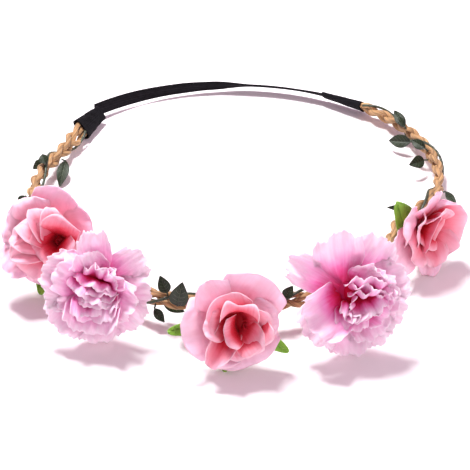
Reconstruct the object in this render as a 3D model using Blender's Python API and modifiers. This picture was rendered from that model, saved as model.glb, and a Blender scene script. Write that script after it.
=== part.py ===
"""A flower crown lying on a table: a braided band with a leafy vine, five artificial flowers and an
elastic back strap sewn into two fabric sleeves.

Metres, +Z up. The table is z = 0, the flowers are at the front (-Y) and the elastic is at the back.
Angles round the band are in degrees: 0 at the front, negative to the left, 180 at the back.
"""

import math

import bmesh
import bpy
from mathutils import Matrix, Vector

MM = 0.001
AIR = 0.35 * MM  # left between pieces that touch

# The band's plan: an oval that has sunk in at two places
BAND_HALF_WIDTH = 93 * MM
BAND_FRONT_DEPTH = 96 * MM
BAND_BACK_DEPTH = 81 * MM
BAND_CENTRE = Vector((-0.5 * MM, 22.9 * MM, -0.3 * MM))
DENTS = ((-108, 24, 11 * MM), (60, 15, 12 * MM))  # angle, spread in degrees, depth
FRONT_HEIGHT = 12.5 * MM
BACK_HEIGHT = 4.6 * MM

# How far the band's upper edge leans outwards, in degrees, at angles round the band
LEANS = ((-180, -10), (-160, 25), (-134, 40), (-121, 38), (-95, 5), (-45, -20), (0, -30), (45, -20),
         (95, -10), (136, -40), (151, -48), (180, -10))

# Where the sleeves begin and end round the band
LEFT_SLEEVE = (-121, -134)
RIGHT_SLEEVE = (137, 151)

# The braid: each strand weaves from side to side by SWAY and over and under by LIFT
STRAND_RADIUS = 1.25 * MM
BRAID_SWAY = 2.65 * STRAND_RADIUS
BRAID_LIFT = STRAND_RADIUS + 2 * AIR
BRAID_PITCH = 27 * MM
BRAID_LEAD = 4 * MM  # the strands rise from flat to braided over this length
STEPS_PER_CROSSING = 2  # a strand crosses another every sixth of the pitch

# The vine that winds round the braid
VINE_RADIUS = 0.6 * MM
VINE_HALF_WIDTH = BRAID_SWAY + STRAND_RADIUS + 2 * AIR + VINE_RADIUS
VINE_HALF_DEPTH = BRAID_LIFT + STRAND_RADIUS + 2 * AIR + 2 * VINE_RADIUS
VINE_PITCH = 46 * MM
VINE_POINTS_PER_PITCH = 12
VINE_END_GAP = 1.5 * MM
VINE_START = 200  # degrees round the braid at the left end
CLEAR_OF_BAND = VINE_HALF_WIDTH + VINE_RADIUS + AIR  # from the middle of the band

# The elastic strap and the sleeves
STRAP_HALF_WIDTH = 3.0 * MM
STRAP_HALF_THICKNESS = 0.45 * MM
STRAP_POINTS = 36
SLEEVE_WALL = 0.9 * MM
SLEEVE_PLAY = 0.55 * MM  # round the braid and the strap
SLEEVE_CORNER = 1.0 * MM
POCKET_DEPTH = 5 * MM  # the braid and the strap go this far into a sleeve

# What every flower has
STEM_RADIUS = 1.2 * MM
CALYX_BOTTOM = 1.5 * MM
CALYX_TOP = 6.0 * MM
CALYX_FOOT_RADIUS = 2.6 * MM
CALYX_MOUTH_RADIUS = 5.0 * MM
CALYX_LIP = 0.7 * MM
PETAL_THICKNESS = 0.8 * MM
PETAL_GAP = 0.5 * MM
SEPAL_THICKNESS = 0.5 * MM
HUB_RADIUS = 3.6 * MM
STEM_HEAD = 0.6 * MM  # the stem stands this far above the last layer

# Layers from the bottom up: name, rim radius, rise, number of lobes, share of the radius between lobes
ROSE_LAYERS = (
    ("sepals", 20.5 * MM, 3.2 * MM, 5, 0.62),
    ("outer_petals", 19.0 * MM, 7.0 * MM, 5, 0.10),
    ("middle_petals", 15.0 * MM, 10.5 * MM, 5, 0.08),
    ("inner_petals", 9.5 * MM, 12.5 * MM, 3, 0.06),
)
ROSE_HEART = ("bud", 5.2 * MM, 12 * MM)
CARNATION_LAYERS = (
    ("guard_petals", 23.0 * MM, 4.5 * MM, 5, 0.12),
    ("second_petals", 19.5 * MM, 8.0 * MM, 5, 0.10),
    ("third_petals", 15.5 * MM, 10.5 * MM, 5, 0.08),
    ("fourth_petals", 11.0 * MM, 11.5 * MM, 5, 0.06),
)
CARNATION_HEART = ("tuft", 6.0 * MM, 11 * MM)

# Flowers: name, kind, angle round the band, clock of the foot (0 is outwards, 90 is up) and its distance
# from the band in mm, heading of the flower's axis in plan (0 is +X), its elevation, spin, and scale
FLOWERS = (
    ("left_rose", "rose", -53, 66, 2.6, 264, 34, 46, 1.06),
    ("left_carnation", "carnation", -32, 42, 0.4, 268, 28, 10, 1.00),
    ("front_rose", "rose", 0, 10, 0.8, 271, 27, 43, 1.03),
    ("right_carnation", "carnation", 26.5, 44, 0.8, 275, 28, 40, 1.10),
    ("right_rose", "rose", 57.5, 58, 2.0, 306, 8, 37, 1.00),
)

# Leaves on the vine: angle round the band and clock of the leaf's foot, its tip from its foot in mm
# (along the band, outwards, up) and its width in mm
LEAVES = (
    (-101, 195, (13, -4, -4), 5.6),
    (-91, 110, (-3, 3, 3), 4.6),
    (-98, -15, (5, 3, -2), 4.4),
    (-75, 60, (5, 3, -1), 4.0),
    (-16, 75, (-2, 1, 8), 5.0),
    (-13, 20, (3, 3, 13), 7.5),
    (-18, -120, (9, 1, -2), 4.5),
    (-19, -50, (5, 3, -3), 3.8),
    (12, 60, (3, 0, 5), 4.4),
    (66, 125, (-8, -7, 1), 3.0),
    (80, 20, (-8, 7, -1), 3.4),
    (116, 130, (9, 0, 5), 4.8),
    (110, 175, (7, -8, -1), 6.4),
    (98, 180, (-4, -7, 1), 6.0),
    (101, 130, (6, -5, 2), 4.6),
)
LEAF_THICKNESS = 0.5 * MM
LEAF_FACING = Vector((0, -0.81, 0.59))
LEAF_CUP = 0.12  # of the leaf's width
LEAF_TIP_SHARE = 0.12  # of the leaf's width, left at its foot and tip


def new_material(name, colour, roughness, metallic=0.0):
    material = bpy.data.materials.new(name)
    material.use_nodes = True
    shader = material.node_tree.nodes["Principled BSDF"]
    shader.inputs["Base Color"].default_value = (*colour, 1)
    shader.inputs["Roughness"].default_value = roughness
    shader.inputs["Metallic"].default_value = metallic
    return material


def make_materials():
    return {
        "braid": new_material("braid_cord", (0.62, 0.40, 0.20), 0.8),
        "vine": new_material("vine_green", (0.045, 0.065, 0.035), 0.6),
        "leaf": new_material("leaf_green", (0.06, 0.09, 0.05), 0.5),
        "sepal": new_material("sepal_green", (0.20, 0.42, 0.06), 0.6),
        "rose": new_material("rose_pink", (0.86, 0.32, 0.40), 0.75),
        "carnation": new_material("carnation_pink", (0.90, 0.55, 0.76), 0.75),
        "calyx": new_material("calyx_green", (0.10, 0.24, 0.05), 0.5),
        "elastic": new_material("elastic_black", (0.012, 0.012, 0.016), 0.85),
        "sleeve": new_material("sleeve_black", (0.015, 0.015, 0.02), 0.9),
    }


def make_collection(name, hidden=False):
    collection = bpy.data.collections.new(name)
    collection.hide_render = hidden
    bpy.context.scene.collection.children.link(collection)
    return collection


def add_object(name, data, collection, material=None):
    obj = bpy.data.objects.new(name, data)
    collection.objects.link(obj)
    if material is not None:
        data.materials.append(material)
    return obj


def mesh_object(name, shape, collection, material):
    bmesh.ops.recalc_face_normals(shape, faces=shape.faces)
    mesh = bpy.data.meshes.new(name)
    shape.to_mesh(mesh)
    shape.free()
    mesh.shade_smooth()
    return add_object(name, mesh, collection, material)


def oval_point(angle):
    """The middle of the band at an angle round it."""
    turn = math.radians(angle)
    depth = BAND_FRONT_DEPTH if math.cos(turn) > 0 else BAND_BACK_DEPTH
    point = Vector((BAND_HALF_WIDTH * math.sin(turn), -depth * math.cos(turn), 0))
    for middle, spread, amount in DENTS:
        point -= point.normalized() * amount * math.exp(-(((angle - middle) / spread) ** 2))
    share = (BAND_FRONT_DEPTH + point.y) / (BAND_FRONT_DEPTH + BAND_BACK_DEPTH)
    point.z = FRONT_HEIGHT + (BACK_HEIGHT - FRONT_HEIGHT) * share
    return point + BAND_CENTRE


def lean_at(angle):
    """The band's lean in radians, eased between the angles that LEANS names."""
    angle = (angle + 180) % 360 - 180
    for (before, low), (after, high) in zip(LEANS, LEANS[1:]):
        if before <= angle <= after:
            share = (angle - before) / (after - before)
            share = share * share * (3 - 2 * share)
            return math.radians(low + (high - low) * share)
    return math.radians(LEANS[0][1])


def directions(tangent, lean):
    """(out, wide): the band's face direction and its width direction, square to its run."""
    flat_out = tangent.cross(Vector((0, 0, 1))).normalized()
    up = flat_out.cross(tangent).normalized()
    wide = up * math.cos(lean) + flat_out * math.sin(lean)
    return flat_out * math.cos(lean) - up * math.sin(lean), wide


def band_frame(angle):
    """(point, run, out, wide) of the band at an angle round it."""
    step = 0.5
    run = (oval_point(angle + step) - oval_point(angle - step)).normalized()
    return (oval_point(angle), run, *directions(run, lean_at(angle)))


def arc_table(start, end):
    """Angles from start to end with the length run by each, 0.5 degrees apart."""
    count = int(abs(end - start) * 2)
    table = [(start, 0.0)]
    for i in range(1, count + 1):
        angle = start + (end - start) * i / count
        table.append((angle, table[-1][1] + (oval_point(angle) - oval_point(table[-1][0])).length))
    return table


def angle_at(table, length):
    for (low, short), (high, long) in zip(table, table[1:]):
        if length <= long:
            return low + (high - low) * max(0.0, length - short) / (long - short)
    return table[-1][0]


class Sleeve:
    """A flat tapered tube of folded fabric: the braid goes into its wide end, the strap into the other."""

    def __init__(self, braid_angle, strap_angle):
        self.braid_end = oval_point(braid_angle)
        self.strap_end = oval_point(strap_angle)
        self.axis = (self.strap_end - self.braid_end).normalized()
        self.lean = lean_at((braid_angle + strap_angle) / 2)
        run = self.axis if braid_angle > 0 else -self.axis
        self.out, self.wide = directions(run, self.lean)

    def inside(self, depth, from_strap_end=False):
        """A point on the sleeve's axis, depth inside one end."""
        end, way = (self.strap_end, -1) if from_strap_end else (self.braid_end, 1)
        return end + self.axis * depth * way


def sweep(name, points, collection, material, radius=None, profile=None, tilts=None, radii=None,
          caps=True):
    curve = bpy.data.curves.new(name, "CURVE")
    curve.dimensions = "3D"
    curve.twist_mode = "Z_UP"
    curve.use_fill_caps = caps
    if profile is None:
        curve.bevel_depth = radius
        curve.bevel_resolution = 1
    else:
        curve.bevel_mode = "OBJECT"
        curve.bevel_object = profile
    spline = curve.splines.new("POLY")
    spline.points.add(len(points) - 1)
    for i, point in enumerate(points):
        spline.points[i].co = (*point, 1)
        spline.points[i].tilt = tilts[i] if tilts else 0.0
        spline.points[i].radius = radii[i] if radii else 1.0
    return add_object(name, curve, collection, material)


def flat_profile(name, half_width, half_thickness, corner, helpers):
    """A closed outline, wide along Y: a rectangle whose corners are cut if corner isn't 0."""
    outline = []
    for side_x, side_y in ((1, 1), (1, -1), (-1, -1), (-1, 1)):
        along = (half_thickness * side_x, (half_width - corner) * side_y)
        across = ((half_thickness - corner) * side_x, half_width * side_y)
        pair = (across, along) if side_x * side_y > 0 else (along, across)
        outline.extend(pair if corner else pair[:1])
    curve = bpy.data.curves.new(name, "CURVE")
    spline = curve.splines.new("POLY")
    spline.points.add(len(outline) - 1)
    for i, (x, y) in enumerate(outline):
        spline.points[i].co = (x, y, 0, 1)
    spline.use_cyclic_u = True
    profile = add_object(name, curve, helpers)
    profile.hide_render = True
    profile.display_type = "WIRE"
    return profile


def strand_points(lane, left, right, table):
    """One strand from inside the left sleeve to inside the right one. lane is 0, 1 or 2."""
    length = table[-1][1]
    braided = length - 2 * BRAID_LEAD
    steps = round(braided / BRAID_PITCH * 6) * STEPS_PER_CROSSING

    def offset(step, out, wide, lift):
        phase = 2 * math.pi * (step / STEPS_PER_CROSSING / 6 + lane / 3)
        return wide * BRAID_SWAY * math.sin(phase) + out * lift * math.sin(2 * phase)

    points = [left.inside(depth) + offset(0, left.out, left.wide, 0) for depth in (POCKET_DEPTH, AIR)]
    for step in range(steps + 1):
        point, _, out, wide = band_frame(angle_at(table, BRAID_LEAD + braided * step / steps))
        points.append(point + offset(step, out, wide, BRAID_LIFT))
    for depth in (AIR, POCKET_DEPTH):
        points.append(right.inside(depth) + offset(steps, right.out, right.wide, 0))
    return points


def vine_points(table):
    """The vine winds round the braid as a flat helix, clear of the strands."""
    length = table[-1][1] - 2 * VINE_END_GAP
    count = round(length / VINE_PITCH * VINE_POINTS_PER_PITCH)
    points = []
    for i in range(count + 1):
        run_length = length * i / count
        point, _, out, wide = band_frame(angle_at(table, run_length + VINE_END_GAP))
        phase = 2 * math.pi * run_length / VINE_PITCH + math.radians(VINE_START)
        across, over = VINE_HALF_WIDTH * math.sin(phase), VINE_HALF_DEPTH * math.cos(phase)
        points.append(point + wide * across + out * over)
    return points


def beside_band(angle, clock, distance):
    """(place, run, level, up): a place beside the band and the band's level directions there."""
    point, run, _, _ = band_frame(angle)
    level = run.cross(Vector((0, 0, 1))).normalized()
    up = level.cross(run).normalized()
    clock = math.radians(clock)
    return point + (level * math.cos(clock) + up * math.sin(clock)) * distance, run, level, up


def make_sleeve(name, sleeve, collection, helpers, material):
    """An open flattened tube that tapers to the strap, with its wall inside the outline."""
    inner_half_width = BRAID_SWAY * math.sin(math.pi / 3) + STRAND_RADIUS + SLEEVE_PLAY
    inner_half_thickness = STRAND_RADIUS + SLEEVE_PLAY
    profile = flat_profile(name + "_outline", inner_half_width + SLEEVE_WALL,
                           inner_half_thickness + SLEEVE_WALL, SLEEVE_CORNER, helpers)
    taper = (STRAP_HALF_WIDTH + SLEEVE_PLAY + SLEEVE_WALL) / (inner_half_width + SLEEVE_WALL)
    tube = sweep(name, [sleeve.braid_end, sleeve.strap_end], collection, material, profile=profile,
                 tilts=[curve_tilt(sleeve.axis, sleeve.wide)] * 2, radii=[1.0, taper], caps=False)
    shell = as_mesh(tube)
    wall = shell.modifiers.new("wall", "SOLIDIFY")
    wall.thickness = SLEEVE_WALL
    wall.offset = -1


def as_mesh(obj):
    """The curve's evaluated mesh as an object of its own, with its normals pointing out."""
    bpy.context.view_layer.update()
    graph = bpy.context.evaluated_depsgraph_get()
    mesh = bpy.data.meshes.new_from_object(obj.evaluated_get(graph))
    shape = bmesh.new()
    shape.from_mesh(mesh)
    bmesh.ops.remove_doubles(shape, verts=shape.verts, dist=0.01 * MM)
    bmesh.ops.recalc_face_normals(shape, faces=shape.faces)
    shape.to_mesh(mesh)
    shape.free()
    name, matrix, collection = obj.name, obj.matrix_world.copy(), obj.users_collection[0]
    bpy.data.objects.remove(obj)
    copy = add_object(name, mesh, collection)
    copy.matrix_world = matrix
    return copy


def curve_tilt(run, wide):
    """The tilt that turns a Z-up curve's profile so that its Y lies along wide."""
    side = run.cross(Vector((0, 0, 1))).normalized()
    up = side.cross(run).normalized()
    return math.atan2(wide.dot(side), wide.dot(up))


def make_strap(left, right, collection, helpers, material):
    """The elastic runs from inside the right sleeve, round the back, into the left one."""
    table = arc_table(RIGHT_SLEEVE[1], LEFT_SLEEVE[1] + 360)
    points = [right.inside(depth, True) for depth in (POCKET_DEPTH, AIR)]
    wides = [right.wide, right.wide]
    for i in range(1, STRAP_POINTS):
        point, _, _, wide = band_frame(angle_at(table, table[-1][1] * i / STRAP_POINTS))
        points.append(point)
        wides.append(wide)
    points += [left.inside(depth, True) for depth in (AIR, POCKET_DEPTH)]
    wides += [left.wide, left.wide]
    neighbours = zip(points[:1] + points, points[1:] + points[-1:])
    runs = [(after - before).normalized() for before, after in neighbours]
    profile = flat_profile("strap_outline", STRAP_HALF_WIDTH, STRAP_HALF_THICKNESS, 0, helpers)
    sweep("elastic_strap", points, collection, material, profile=profile,
          tilts=[curve_tilt(run, wide) for run, wide in zip(runs, wides)])


def make_leaf(name, angle, clock, tip, width, collection, material):
    """A cupped leaf whose foot stands just clear of the vine. Its face is turned up and forwards."""
    foot, run, level, up = beside_band(angle, clock, CLEAR_OF_BAND + LEAF_THICKNESS)
    reach = (run * tip[0] + level * tip[1] + up * tip[2]) * MM
    way = reach.normalized()
    face = (LEAF_FACING - way * way.dot(LEAF_FACING)).normalized()
    length, width = reach.length, width * MM
    shape = bmesh.new()
    bmesh.ops.create_grid(shape, x_segments=2, y_segments=5, size=0.5)
    for vertex in shape.verts:
        across, along = vertex.co.x * 2, vertex.co.y + 0.5
        fullness = LEAF_TIP_SHARE + (1 - LEAF_TIP_SHARE) * math.sin(math.pi * along ** 0.85)
        vertex.co = (across * fullness * width / 2, along * length,
                     LEAF_CUP * width * (abs(across) * fullness - along * along))
    leaf = mesh_object(name, shape, collection, material)
    turn = Matrix((way.cross(face), way, face)).transposed().to_4x4()
    leaf.matrix_world = Matrix.Translation(foot) @ turn
    skin = leaf.modifiers.new("thickness", "SOLIDIFY")
    skin.thickness = LEAF_THICKNESS
    skin.offset = 0


def make_layer(name, seat, rim_radius, rise, lobes, notch, thickness, collection, material):
    """A dish with a lobed rim and a flat hub, with a hole for the stem."""
    segments = lobes * (3 if lobes > 3 else 5)
    shape = bmesh.new()
    hole = STEM_RADIUS + AIR
    bmesh.ops.create_circle(shape, segments=segments, radius=hole)
    bmesh.ops.translate(shape, vec=(0, 0, seat), verts=shape.verts)
    edges = list(shape.edges)
    for share in (0, 0.5, 1):
        new = bmesh.ops.extrude_edge_only(shape, edges=edges)["geom"]
        edges = [item for item in new if isinstance(item, bmesh.types.BMEdge)]
        for vertex in (item for item in new if isinstance(item, bmesh.types.BMVert)):
            turn = math.atan2(vertex.co.y, vertex.co.x)
            lobe = 1 - notch * share * (1 - math.cos(lobes * turn)) / 2
            radius = (HUB_RADIUS + (rim_radius - HUB_RADIUS) * share) * lobe
            spread = max(0, (radius - HUB_RADIUS) / (rim_radius - HUB_RADIUS))
            height = seat + rise * spread ** 1.4
            vertex.co = (radius * math.cos(turn), radius * math.sin(turn), height)
    layer = mesh_object(name, shape, collection, material)
    if layer.data.polygons[0].normal.z < 0:
        layer.data.flip_normals()
    skin = layer.modifiers.new("thickness", "SOLIDIFY")
    skin.thickness = thickness
    skin.offset = 1
    return layer


def make_calyx(name, collection, material):
    """A turned cup with a bore for the stem."""
    bore = STEM_RADIUS + AIR
    outline = ((bore, CALYX_TOP), (CALYX_MOUTH_RADIUS, CALYX_TOP),
               (CALYX_MOUTH_RADIUS, CALYX_TOP - CALYX_LIP), (CALYX_FOOT_RADIUS, CALYX_BOTTOM),
               (bore, CALYX_BOTTOM))
    mesh = bpy.data.meshes.new(name)
    edges = [(i, (i + 1) % len(outline)) for i in range(len(outline))]
    mesh.from_pydata([(radius, 0, height) for radius, height in outline], edges, [])
    calyx = add_object(name, mesh, collection, material)
    turned = calyx.modifiers.new("turned", "SCREW")
    turned.steps = turned.render_steps = 12
    turned.use_merge_vertices = True
    turned.merge_threshold = 0.01 * MM
    return calyx


def make_stem(name, top, collection, material):
    shape = bmesh.new()
    bmesh.ops.create_cone(shape, cap_ends=True, segments=8, depth=top,
                          radius1=STEM_RADIUS, radius2=STEM_RADIUS)
    bmesh.ops.translate(shape, vec=(0, 0, top / 2), verts=shape.verts)
    return mesh_object(name, shape, collection, material)


def make_heart(name, bottom, radius, height, collection, material):
    shape = bmesh.new()
    bmesh.ops.create_uvsphere(shape, u_segments=10, v_segments=6, radius=1)
    bmesh.ops.scale(shape, vec=(radius, radius, height / 2), verts=shape.verts)
    bmesh.ops.translate(shape, vec=(0, 0, bottom + height / 2), verts=shape.verts)
    return mesh_object(name, shape, collection, material)


def make_flower(name, kind, angle, clock, distance, heading, elevation, spin, scale, collection,
                materials):
    """A stack of layers on a stem, on an empty at the flower's foot that points it the right way."""
    foot = beside_band(angle, clock, CLEAR_OF_BAND + distance * MM)[0]
    base = bpy.data.objects.new(name + "_base", None)
    collection.objects.link(base)
    heading, elevation = math.radians(heading), math.radians(elevation)
    axis = Vector((math.cos(heading) * math.cos(elevation), math.sin(heading) * math.cos(elevation),
                   math.sin(elevation)))
    turn = axis.to_track_quat("Z", "Y").to_matrix().to_4x4()
    base.matrix_world = Matrix.Translation(foot) @ turn @ Matrix.Rotation(math.radians(spin), 4, "Z")
    layers, heart = (ROSE_LAYERS, ROSE_HEART) if kind == "rose" else (CARNATION_LAYERS, CARNATION_HEART)
    pieces = [make_calyx(name + "_calyx", collection, materials["calyx"])]
    seat = CALYX_TOP + AIR
    for number, (layer, rim_radius, rise, lobes, notch) in enumerate(layers):
        is_sepal = layer == "sepals"
        thickness = SEPAL_THICKNESS if is_sepal else PETAL_THICKNESS
        piece = make_layer(f"{name}_{layer}", seat, rim_radius * scale, rise * scale, lobes, notch,
                           thickness, collection, materials["sepal" if is_sepal else kind])
        piece.rotation_euler.z = number * math.pi / lobes  # each lobe covers a gap in the layer below
        pieces.append(piece)
        seat += thickness + PETAL_GAP
    top = seat - PETAL_GAP + STEM_HEAD
    pieces.append(make_stem(name + "_stem", top, collection, materials["calyx"]))
    heart_name, radius, height = heart
    pieces.append(make_heart(f"{name}_{heart_name}", top + AIR, radius * scale, height * scale,
                             collection, materials[kind]))
    for piece in pieces:
        piece.parent = base


def set_on_table(collection):
    """Moves the whole crown up or down so that its lowest point is on the table."""
    bpy.context.view_layer.update()
    graph = bpy.context.evaluated_depsgraph_get()
    heights = []
    for obj in collection.objects:
        if obj.type != "EMPTY":
            mesh = obj.evaluated_get(graph).to_mesh()
            heights.extend((obj.matrix_world @ vertex.co).z for vertex in mesh.vertices)
    for obj in collection.objects:
        if obj.parent is None:
            obj.location.z -= min(heights)


def main():
    for obj in list(bpy.data.objects):
        bpy.data.objects.remove(obj)
    crown = make_collection("flower_crown")
    helpers = make_collection("outlines", hidden=True)
    materials = make_materials()
    left, right = Sleeve(*LEFT_SLEEVE), Sleeve(*RIGHT_SLEEVE)
    table = arc_table(LEFT_SLEEVE[0], RIGHT_SLEEVE[0])
    for lane in range(3):
        sweep(f"braid_strand_{lane + 1}", strand_points(lane, left, right, table), crown,
              materials["braid"], radius=STRAND_RADIUS)
    sweep("vine_stem", vine_points(table), crown, materials["vine"], radius=VINE_RADIUS)
    for side, sleeve in (("left", left), ("right", right)):
        make_sleeve(side + "_sleeve", sleeve, crown, helpers, materials["sleeve"])
    make_strap(left, right, crown, helpers, materials["elastic"])
    for number, leaf in enumerate(LEAVES, 1):
        make_leaf(f"vine_leaf_{number:02d}", *leaf, crown, materials["leaf"])
    for flower in FLOWERS:
        make_flower(*flower, crown, materials)
    set_on_table(crown)


main()
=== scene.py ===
import math

import bmesh
import bpy
from mathutils import Matrix, Vector, noise


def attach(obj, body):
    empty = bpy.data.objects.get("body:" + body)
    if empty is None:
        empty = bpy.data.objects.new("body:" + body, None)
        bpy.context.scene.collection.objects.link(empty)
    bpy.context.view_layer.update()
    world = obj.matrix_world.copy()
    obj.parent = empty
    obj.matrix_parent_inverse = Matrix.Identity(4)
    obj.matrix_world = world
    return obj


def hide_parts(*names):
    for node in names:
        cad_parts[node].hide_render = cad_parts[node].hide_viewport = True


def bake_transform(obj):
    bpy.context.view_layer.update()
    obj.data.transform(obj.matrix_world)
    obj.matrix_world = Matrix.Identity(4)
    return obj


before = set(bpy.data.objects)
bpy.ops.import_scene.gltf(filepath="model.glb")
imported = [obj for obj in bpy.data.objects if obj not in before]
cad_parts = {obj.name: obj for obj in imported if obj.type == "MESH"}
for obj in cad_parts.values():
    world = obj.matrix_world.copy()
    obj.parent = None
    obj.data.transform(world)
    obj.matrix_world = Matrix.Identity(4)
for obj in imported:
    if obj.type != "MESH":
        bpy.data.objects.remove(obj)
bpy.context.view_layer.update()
mm = 0.001
print("frame loaded:", len(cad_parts), "nodes")

# The band's route, the same as the solids'
band = {
    "halfWidth": 93 * mm,
    "frontDepth": 96 * mm,
    "backDepth": 81 * mm,
    "centre": Vector((-0.5 * mm, 22.9 * mm, -0.3 * mm)),
    "dents": ((-108, 24, 11 * mm), (60, 15, 12 * mm)),
    "frontHeight": 12.5 * mm,
    "backHeight": 4.6 * mm,
    "leans": ((-180, -10), (-160, 25), (-134, 40), (-121, 38), (-95, 5), (-45, -20), (0, -30), (45, -20),
              (95, -10), (136, -40), (151, -48), (180, -10)),
    "leftSleeve": (-121, -134),
    "rightSleeve": (137, 151),
}
up = Vector((0, 0, 1))


def ease(value):
    value = min(1.0, max(0.0, value))
    return value * value * (3 - 2 * value)


def mix(a, b, share):
    return a + (b - a) * share


def ovalPoint(angle):
    turn = math.radians(angle)
    depth = band["frontDepth"] if math.cos(turn) > 0 else band["backDepth"]
    point = Vector((band["halfWidth"] * math.sin(turn), -depth * math.cos(turn), 0))
    for middle, spread, amount in band["dents"]:
        point -= point.normalized() * amount * math.exp(-(((angle - middle) / spread) ** 2))
    share = (band["frontDepth"] + point.y) / (band["frontDepth"] + band["backDepth"])
    point.z = mix(band["frontHeight"], band["backHeight"], share)
    return point + band["centre"]


def leanIn(leans, angle):
    for (before, low), (after, high) in zip(leans, leans[1:]):
        if before <= angle <= after:
            return math.radians(mix(low, high, ease((angle - before) / (after - before))))
    return math.radians(leans[0][1])


def leanAt(angle):
    return leanIn(band["leans"], (angle + 180) % 360 - 180)


def sidesOf(run, lean):
    # Out and wide, square to the run.
    flatOut = run.cross(up).normalized()
    rise = flatOut.cross(run).normalized()
    wide = rise * math.cos(lean) + flatOut * math.sin(lean)
    return flatOut * math.cos(lean) - rise * math.sin(lean), wide


def bandFrame(angle):
    run = (ovalPoint(angle + 0.5) - ovalPoint(angle - 0.5)).normalized()
    return (ovalPoint(angle), run, *sidesOf(run, leanAt(angle)))


def arcTable(start, end):
    count = int(abs(end - start) * 4)
    table = [(start, 0.0)]
    for i in range(1, count + 1):
        angle = mix(start, end, i / count)
        table.append((angle, table[-1][1] + (ovalPoint(angle) - ovalPoint(table[-1][0])).length))
    return table


def angleAt(table, length):
    for (low, short), (high, long) in zip(table, table[1:]):
        if length <= long:
            return mix(low, high, max(0.0, length - short) / (long - short))
    return table[-1][0]


def besideBand(angle, clock, distance):
    # A place beside the band, with its run and level directions.
    point, run, _, _ = bandFrame(angle)
    level = run.cross(up).normalized()
    rise = level.cross(run).normalized()
    clock = math.radians(clock)
    return point + (level * math.cos(clock) + rise * math.sin(clock)) * distance, run, level, rise


def sleeveEnds(braidAngle, strapAngle):
    # Braid end, strap end, axis, out and wide of a sleeve.
    start, stop = ovalPoint(braidAngle), ovalPoint(strapAngle)
    axis = (stop - start).normalized()
    out, wide = sidesOf(axis if braidAngle > 0 else -axis, leanAt((braidAngle + strapAngle) / 2))
    return start, stop, axis, out, wide


leftSleeve = sleeveEnds(*band["leftSleeve"])
rightSleeve = sleeveEnds(*band["rightSleeve"])
bandTable = arcTable(band["leftSleeve"][0], band["rightSleeve"][0])
bandLength = bandTable[-1][1]


# Node helpers
def addNode(tree, kind, values=None, **settings):
    node = tree.nodes.new(kind)
    for key, value in settings.items():
        setattr(node, key, value)
    for key, value in (values or {}).items():
        node.inputs[key].default_value = value
    return node


def mathNode(tree, operation, first, second=None, clamp=False):
    node = addNode(tree, "ShaderNodeMath", operation=operation, use_clamp=clamp)
    for socket, value in zip(node.inputs, (first, second)):
        if value is None:
            continue
        if isinstance(value, (int, float)):
            socket.default_value = value
        else:
            tree.links.new(value, socket)
    return node.outputs[0]


def mapRange(tree, value, low, high, toLow=0.0, toHigh=1.0):
    node = addNode(tree, "ShaderNodeMapRange", {1: low, 2: high, 3: toLow, 4: toHigh}, interpolation_type="SMOOTHSTEP")
    tree.links.new(value, node.inputs[0])
    return node.outputs[0]


def mixColour(tree, factor, first, second, blend="MIX"):
    node = addNode(tree, "ShaderNodeMix", data_type="RGBA", blend_type=blend)
    for socket, value in zip((node.inputs[0], node.inputs[6], node.inputs[7]), (factor, first, second)):
        if isinstance(value, (int, float)):
            socket.default_value = value
        elif isinstance(value, tuple):
            socket.default_value = (*value, 1)
        else:
            tree.links.new(value, socket)
    return node.outputs[2]


def ramp(tree, value, stops):
    node = addNode(tree, "ShaderNodeValToRGB")
    tree.links.new(value, node.inputs[0])
    elements = node.color_ramp.elements
    while len(elements) < len(stops):
        elements.new(0.5)
    for element, (place, colour) in zip(elements, stops):
        element.position = place
        element.color = (*colour, 1)
    return node.outputs[0]


def newGroup(name, inputs, outputs):
    # A shader node group with its own input and output nodes.
    tree = bpy.data.node_groups.new(name, "ShaderNodeTree")
    for label, kind, value in inputs:
        socket = tree.interface.new_socket(label, in_out="INPUT", socket_type=kind)
        if value is not None:
            socket.default_value = value
    for label, kind in outputs:
        tree.interface.new_socket(label, in_out="OUTPUT", socket_type=kind)
    return tree, tree.nodes.new("NodeGroupInput"), tree.nodes.new("NodeGroupOutput")


def useGroup(tree, group, vector, **values):
    node = addNode(tree, "ShaderNodeGroup", node_tree=group)
    for key, value in values.items():
        node.inputs[key].default_value = value
    tree.links.new(vector, node.inputs["Vector"])
    return node


def makeWeaveGroup():
    # Plain weave: over-and-under threads as a height.
    tree, entry, leave = newGroup("threadWeave", [("Vector", "NodeSocketVector", None),
                                                  ("Threads", "NodeSocketFloat", 100.0)],
                                  [("Height", "NodeSocketFloat")])
    scaled = addNode(tree, "ShaderNodeVectorMath", operation="SCALE")
    tree.links.new(entry.outputs["Vector"], scaled.inputs[0])
    tree.links.new(entry.outputs["Threads"], scaled.inputs["Scale"])
    parts = addNode(tree, "ShaderNodeSeparateXYZ")
    tree.links.new(scaled.outputs[0], parts.inputs[0])
    across = mathNode(tree, "ABSOLUTE", mathNode(tree, "SINE", mathNode(tree, "MULTIPLY", parts.outputs[0], math.pi)))
    along = mathNode(tree, "ABSOLUTE", mathNode(tree, "SINE", mathNode(tree, "MULTIPLY", parts.outputs[1], math.pi)))
    cells = mathNode(tree, "ADD", mathNode(tree, "FLOOR", parts.outputs[0]), mathNode(tree, "FLOOR", parts.outputs[1]))
    over = mathNode(tree, "FLOORED_MODULO", cells, 2.0)
    height = mathNode(tree, "ADD", mathNode(tree, "MULTIPLY", across, over),
                      mathNode(tree, "MULTIPLY", along, mathNode(tree, "SUBTRACT", 1.0, over)))
    tree.links.new(height, leave.inputs["Height"])
    return tree


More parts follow.
